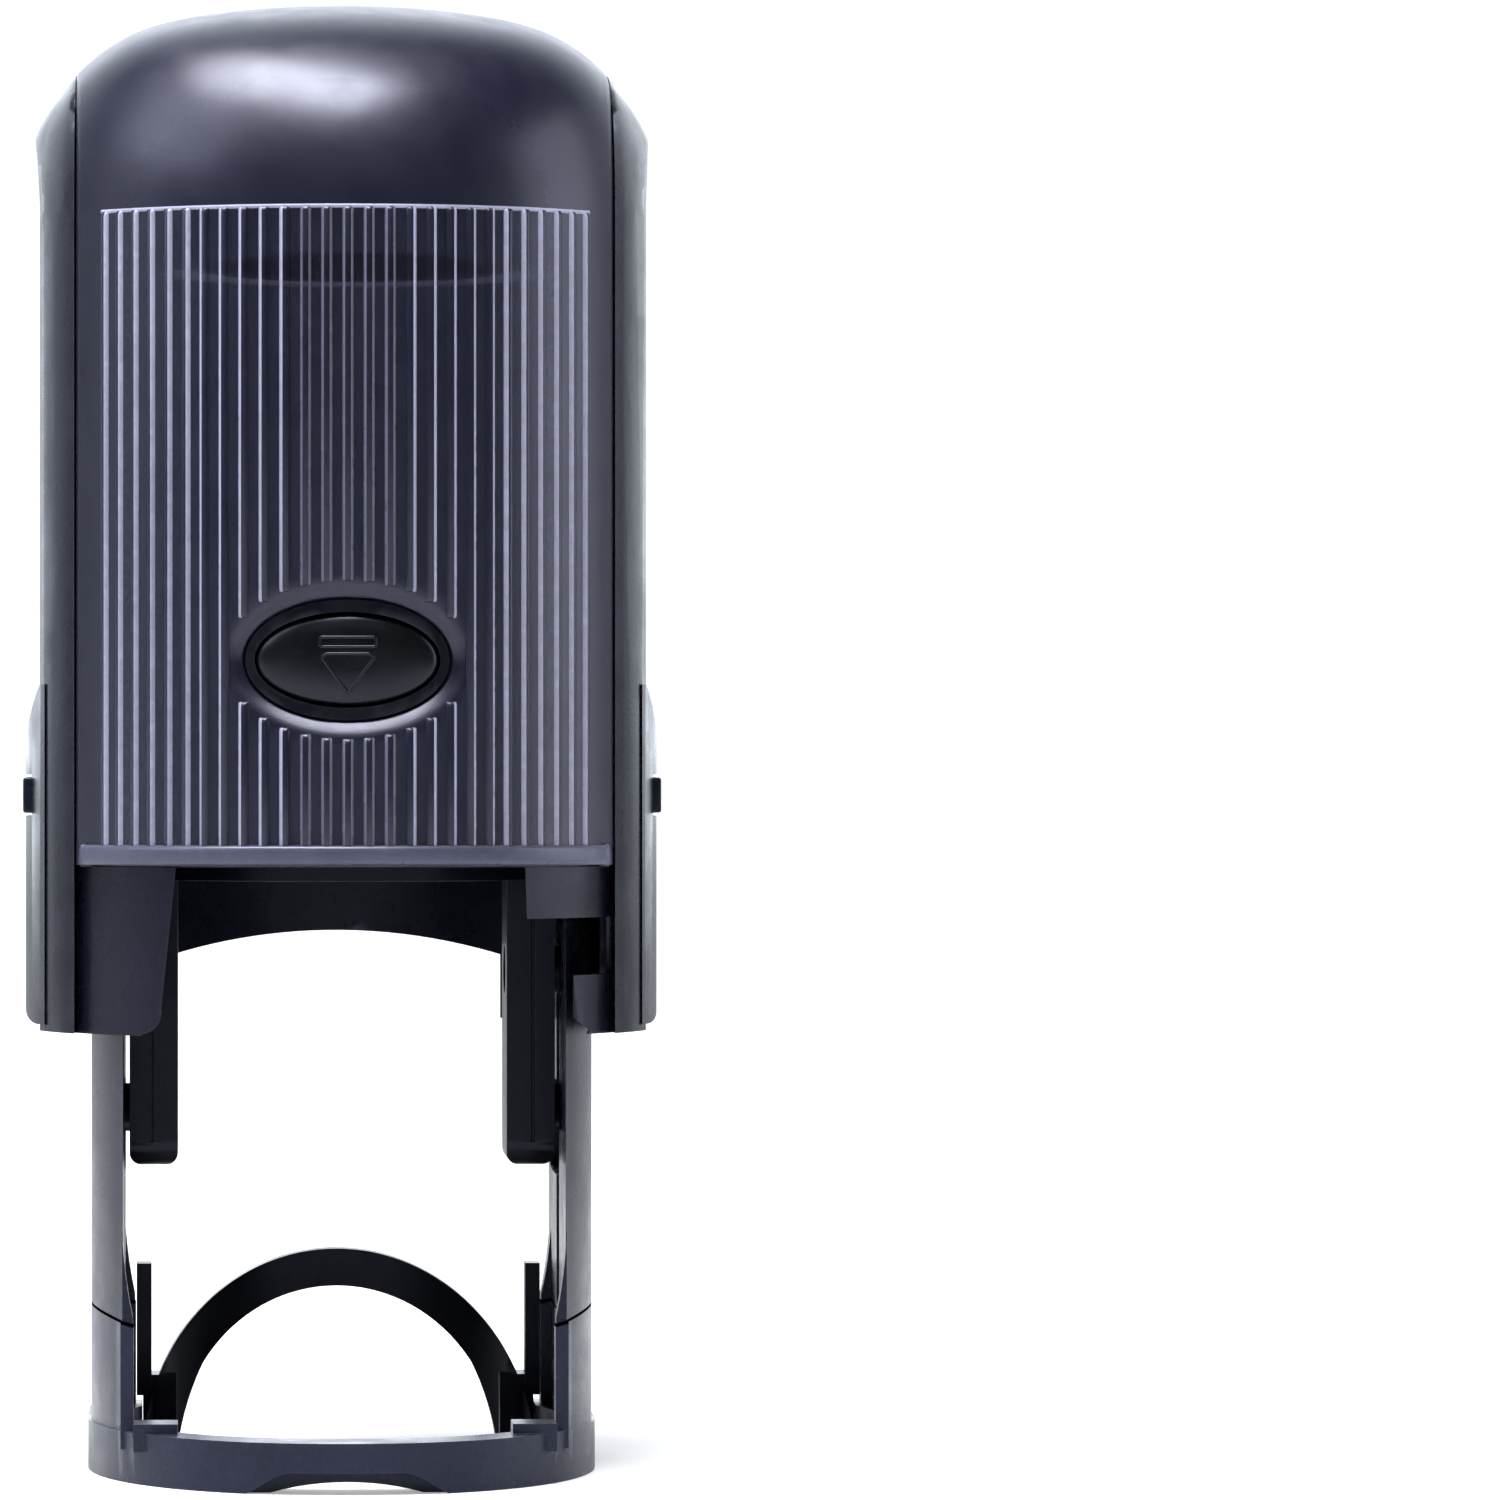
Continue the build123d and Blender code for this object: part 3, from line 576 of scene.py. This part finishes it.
# ---- lock buttons ----
def button(face):
    """Crowned oval cap with a soft rim, and an embossed bar over a triangle on the front one."""
    verts, faces = [], []
    n, rings = 96, []
    top = 19.25
    # (share of the half axes, height below the crown)
    prof = [(1.0, 2.4), (1.0, 0.62), (0.985, 0.46), (0.955, 0.34), (0.91, 0.25), (0.84, 0.17), (0.74, 0.10), (0.6, 0.05), (0.42, 0.02), (0.2, 0.004)]
    for s, d in prof:
        line = []
        for k in range(n):
            a = 2 * pi * k / n
            x, z = BUTTON_A * s * cos(a), BUTTON_B * s * sin(a)
            y = top - d - (z * z) / 60.0 - (x * x) / 44.0
            line.append(len(verts))
            verts.append((x, -face * y, BUTTON_Z + z))
        rings.append(line)
    for la, lb in zip(rings, rings[1:]):
        for k in range(n):
            q = [la[k], la[(k + 1) % n], lb[(k + 1) % n], lb[k]]
            faces.append(q if face > 0 else q[::-1])
    faces.append(rings[-1] if face > 0 else rings[-1][::-1])
    faces.append(rings[0][::-1] if face > 0 else rings[0])
    return verts, faces


def ridge(path, width, y_of, face, closed=True):
    """Rounded raised line along a path on the button."""
    verts, faces = [], []
    n = len(path)
    prof = [(-1.0, -0.03), (-0.7, 0.055), (0.0, 0.085), (0.7, 0.055), (1.0, -0.03)]
    for i in range(n):
        (x0, z0), (x1, z1), (x2, z2) = path[i - 1], path[i], path[(i + 1) % n]
        d1 = Vector((x1 - x0, z1 - z0)).normalized()
        d2 = Vector((x2 - x1, z2 - z1)).normalized()
        t = (d1 + d2).normalized()
        nrm = Vector((-t.y, t.x))
        k = 1.0 / max(0.5, nrm.dot(Vector((-d1.y, d1.x))))
        for u, h in prof:
            x, z = x1 + nrm.x * u * width * k, z1 + nrm.y * u * width * k
            verts.append((x, -face * (y_of(x, z) + h), BUTTON_Z + z))
    m = len(prof)
    for i in range(n):
        for k in range(m - 1):
            j = (i + 1) % n
            q = [i * m + k, j * m + k, j * m + k + 1, i * m + k + 1]
            faces.append(q if face < 0 else q[::-1])
        j = (i + 1) % n
        q = [i * m + m - 1, j * m + m - 1, j * m, i * m]
        faces.append(q if face < 0 else q[::-1])
    return verts, faces


def rounded(points, r, seg=4):
    out = []
    n = len(points)
    for i in range(n):
        p0, p1, p2 = Vector(points[i - 1]), Vector(points[i]), Vector(points[(i + 1) % n])
        a, b = (p0 - p1).normalized(), (p2 - p1).normalized()
        for k in range(seg + 1):
            s = k / seg
            q = (p1 + a * r) * (1 - s) ** 2 + p1 * 2 * s * (1 - s) + (p1 + b * r) * s ** 2
            out.append((q.x, q.y))
    return out


for name, face in (("front_lock_button", 1), ("rear_lock_button", -1)):
    v1, f1 = button(face)
    o = make(name.replace("lock", "lock_oval"), v1, f1, M_BUTTON, "front_button" if face > 0 else "rear_button")
    add_mod(o, "SUBSURF", "smooth", levels=1, render_levels=1)
    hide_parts(name)
    if face > 0:
        def on_face(x, z):
            e = sqrt((x / BUTTON_A) ** 2 + (z / BUTTON_B) ** 2)
            return 19.25 - (z * z) / 60.0 - (x * x) / 44.0 - 0.02 * max(0.0, e - 0.3) * 2
        bar_path = rounded([(-1.68, 0.78), (1.68, 0.78), (1.68, 1.36), (-1.68, 1.36)], 0.18)
        tri_path = rounded([(-1.58, 0.12), (0.0, -1.98), (1.58, 0.12), (1.35, 0.36), (-1.35, 0.36)], 0.16)
        for nm, path in (("bar", bar_path), ("triangle", tri_path)):
            v2, f2 = ridge(path, 0.11, on_face, face)
            q = make("front_lock_" + nm, v2, f2, M_BUTTON, "front_button")


# ---- return spring ----
def spring():
    turns, per, ring = 8.6, 40, 14
    z0, z1 = FRAME_TOP + SPRING_WIRE / 2 + 0.02, BRIDGE_Z0 - SPRING_WIRE / 2 - 0.02
    n = int(turns * per)
    verts, faces = [], []

    def centre(s):
        # closed ends: the first and last three quarter turns lie nearly flat
        e = 0.75 / turns
        flat = 0.16
        if s < e:
            z = flat * (s / e) ** 1.5
        elif s > 1 - e:
            z = 1 - flat * ((1 - s) / e) ** 1.5
        else:
            z = flat + (1 - 2 * flat) * (s - e) / (1 - 2 * e)
        k = 0.075 / flat
        z = z * 1.0
        a = 2 * pi * turns * s
        return Vector((SPRING_R * cos(a), SPRING_R * sin(a), z0 + (z1 - z0) * z))

    for i in range(n + 1):
        s = i / n
        c = centre(s)
        d = (centre(min(1, s + 1e-4)) - centre(max(0, s - 1e-4))).normalized()
        side = Vector((c.x, c.y, 0)).normalized()
        up = d.cross(side).normalized()
        for k in range(ring):
            a = 2 * pi * k / ring
            p = c + side * (SPRING_WIRE / 2 * cos(a)) + up * (SPRING_WIRE / 2 * sin(a))
            verts.append(tuple(p))
    for i in range(n):
        for k in range(ring):
            faces.append([i * ring + k, i * ring + (k + 1) % ring, (i + 1) * ring + (k + 1) % ring, (i + 1) * ring + k])
    faces.append(list(range(ring))[::-1])
    faces.append([n * ring + k for k in range(ring)])
    return verts, faces


verts, faces = spring()
coil = make("spring_coil", verts, faces, M_STEEL, "frame")
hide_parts("return_spring")
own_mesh(coil)

# ---- carried-over CAD nodes ----
house = dress("cap_housing", M_HOUSING, 0.22)
# the collar round each lock button is painted black: painted shade for the deep gap between button and housing
house.data.materials.append(M_BLACK)
for f in house.data.polygons:        # collar round each lock button
    c = f.center
    if sqrt(c.x ** 2 + c.y ** 2) > 0.01830 and (c.x / 0.0064) ** 2 + ((c.z - BUTTON_Z * MM) / 0.0039) ** 2 < 1.0:
        f.material_index = 1
dress("yoke", M_HOUSING, 0.2)
dress("pivot_pin_left", M_BLACK, 0.15)
dress("pivot_pin_right", M_BLACK, 0.15)
dress("foot_ring", M_FOOT, 0.28)
dress("inner_frame", M_FRAME, 0.22)
dress("rear_arch", M_BLACK, 0.4)
dress("pad_cassette", M_DARK, 0.2)
dress("ink_pad", M_FELT, 0.15)
dress("die_holder", M_BLACK, 0.25)
dress("text_plate", M_PLATE, 0.12)
dress("die_cushion", M_FOAM, 0.08)
dress("rubber_die", M_RUBBER, 0.10)

# ---- floor, light, camera ----
def floor_mat():
    """Pale board with a painted glow, seen only by camera rays, that grows away from the object, standing in for a wide
    overhead light.
    """
    m, t, p, out = new_mat("pale_floor")
    co = t.nodes.new("ShaderNodeTexCoord")
    ln = t.nodes.new("ShaderNodeVectorMath")
    ln.operation = "LENGTH"
    t.links.new(co.outputs["Object"], ln.inputs[0])
    glow = remap(t, ln.outputs["Value"], 0.35, 0.95, 0.03, 0.35)
    t.links.new(mix_colour(t, remap(t, noise(t, 40.0, 2.0), 0.0, 1.0), (0.70, 0.70, 0.705), (0.72, 0.72, 0.725)), p.inputs["Base Color"])
    p.inputs["Roughness"].default_value = 0.9
    p.inputs["Specular IOR Level"].default_value = 0.1
    p.inputs["Emission Color"].default_value = (1.0, 1.0, 1.0, 1.0)
    seen = t.nodes.new("ShaderNodeLightPath")
    mul = t.nodes.new("ShaderNodeMath")
    mul.operation = "MULTIPLY"
    t.links.new(glow, mul.inputs[0])
    t.links.new(seen.outputs["Is Camera Ray"], mul.inputs[1])
    t.links.new(mul.outputs[0], p.inputs["Emission Strength"])
    return m


def floor():
    verts, faces = [], []
    rings = [0.0, 0.05, 0.12, 0.3, 0.8, 2.0, 6.0]
    n = 48
    verts.append((0, 0, -0.00002))
    for r in rings[1:]:
        for k in range(n):
            verts.append((r * cos(2 * pi * k / n), r * sin(2 * pi * k / n), -0.00002))
    for k in range(n):
        faces.append([0, 1 + k, 1 + (k + 1) % n])
    for j in range(len(rings) - 2):
        for k in range(n):
            faces.append([1 + j * n + k, 1 + (j + 1) * n + k, 1 + (j + 1) * n + (k + 1) % n, 1 + j * n + (k + 1) % n])
    me = bpy.data.meshes.new("floor")
    me.from_pydata(verts, [], faces)
    o = bpy.data.objects.new("floor", me)
    bpy.context.scene.collection.objects.link(o)
    me.materials.append(floor_mat())


floor()


def area(name, loc, target, size, power, colour=(1, 1, 1)):
    d = bpy.data.lights.new(name, "AREA")
    d.shape = "RECTANGLE"
    d.size, d.size_y = size
    d.energy = power
    d.color = colour
    o = bpy.data.objects.new(name, d)
    bpy.context.scene.collection.objects.link(o)
    o.location = loc
    o.rotation_mode = "QUATERNION"
    o.rotation_quaternion = (Vector(target) - Vector(loc)).to_track_quat("-Z", "Y")
    o.visible_camera = False
    return o


area("soft_left", (-0.42, -0.03, 0.12), (0, 0, 0.05), (0.26, 0.46), 0.36, (0.90, 0.94, 1.0))
area("soft_right", (0.42, -0.03, 0.10), (0, 0, 0.05), (0.24, 0.46), 1.10, (0.93, 0.94, 1.0))
area("soft_top", (-0.07, -0.09, 0.46), (0, 0, 0.05), (0.32, 0.17), 4.6)
area("soft_upper_left", (-0.33, -0.12, 0.34), (0, 0, 0.06), (0.30, 0.26), 1.0, (0.90, 0.93, 1.0))
area("soft_front_low", (0.0, -0.60, 0.42), (0, 0, 0.05), (0.5, 0.16), 0.15)

# pale surroundings: a white sweep behind and at the sides, darker on the near side
world = bpy.data.worlds.new("studio")
bpy.context.scene.world = world
world.use_nodes = True
wt = world.node_tree
bg = wt.nodes["Background"]
bg.inputs[0].default_value = (0.87, 0.925, 1.0, 1.0)
co = wt.nodes.new("ShaderNodeTexCoord")
sep = wt.nodes.new("ShaderNodeSeparateXYZ")
wt.links.new(co.outputs["Generated"], sep.inputs[0])
deep = wt.nodes.new("ShaderNodeMapRange")
deep.interpolation_type = "SMOOTHSTEP"
for k, v in (("From Min", 0.36), ("From Max", 0.90), ("To Min", 0.03), ("To Max", 2.9)):
    deep.inputs[k].default_value = v
wt.links.new(sep.outputs["Y"], deep.inputs["Value"])
path = wt.nodes.new("ShaderNodeLightPath")
pick = wt.nodes.new("ShaderNodeMix")
pick.data_type = "FLOAT"
wt.links.new(path.outputs["Is Camera Ray"], pick.inputs[0])
wt.links.new(deep.outputs[0], pick.inputs[2])
pick.inputs[3].default_value = 1.20
wt.links.new(pick.outputs[0], bg.inputs[1])
bpy.context.scene.view_settings.view_transform = "Standard"

cam_data = bpy.data.cameras.new("camera")
cam = bpy.data.objects.new("camera", cam_data)
bpy.context.scene.collection.objects.link(cam)
bpy.context.scene.camera = cam
DIST = 0.450
cam.location = (-0.0094, -DIST, 0.0447)
cam.rotation_mode = "QUATERNION"
cam.rotation_quaternion = (Vector((0, 0, 0.0447)) - Vector(cam.location)).to_track_quat("-Z", "Y")
cam_data.sensor_width = 36.0
cam_data.lens = 36.0 * DIST / 0.09375
cam_data.shift_x = 0.2725
cam_data.clip_start, cam_data.clip_end = 0.02, 20.0

bpy.context.view_layer.update()
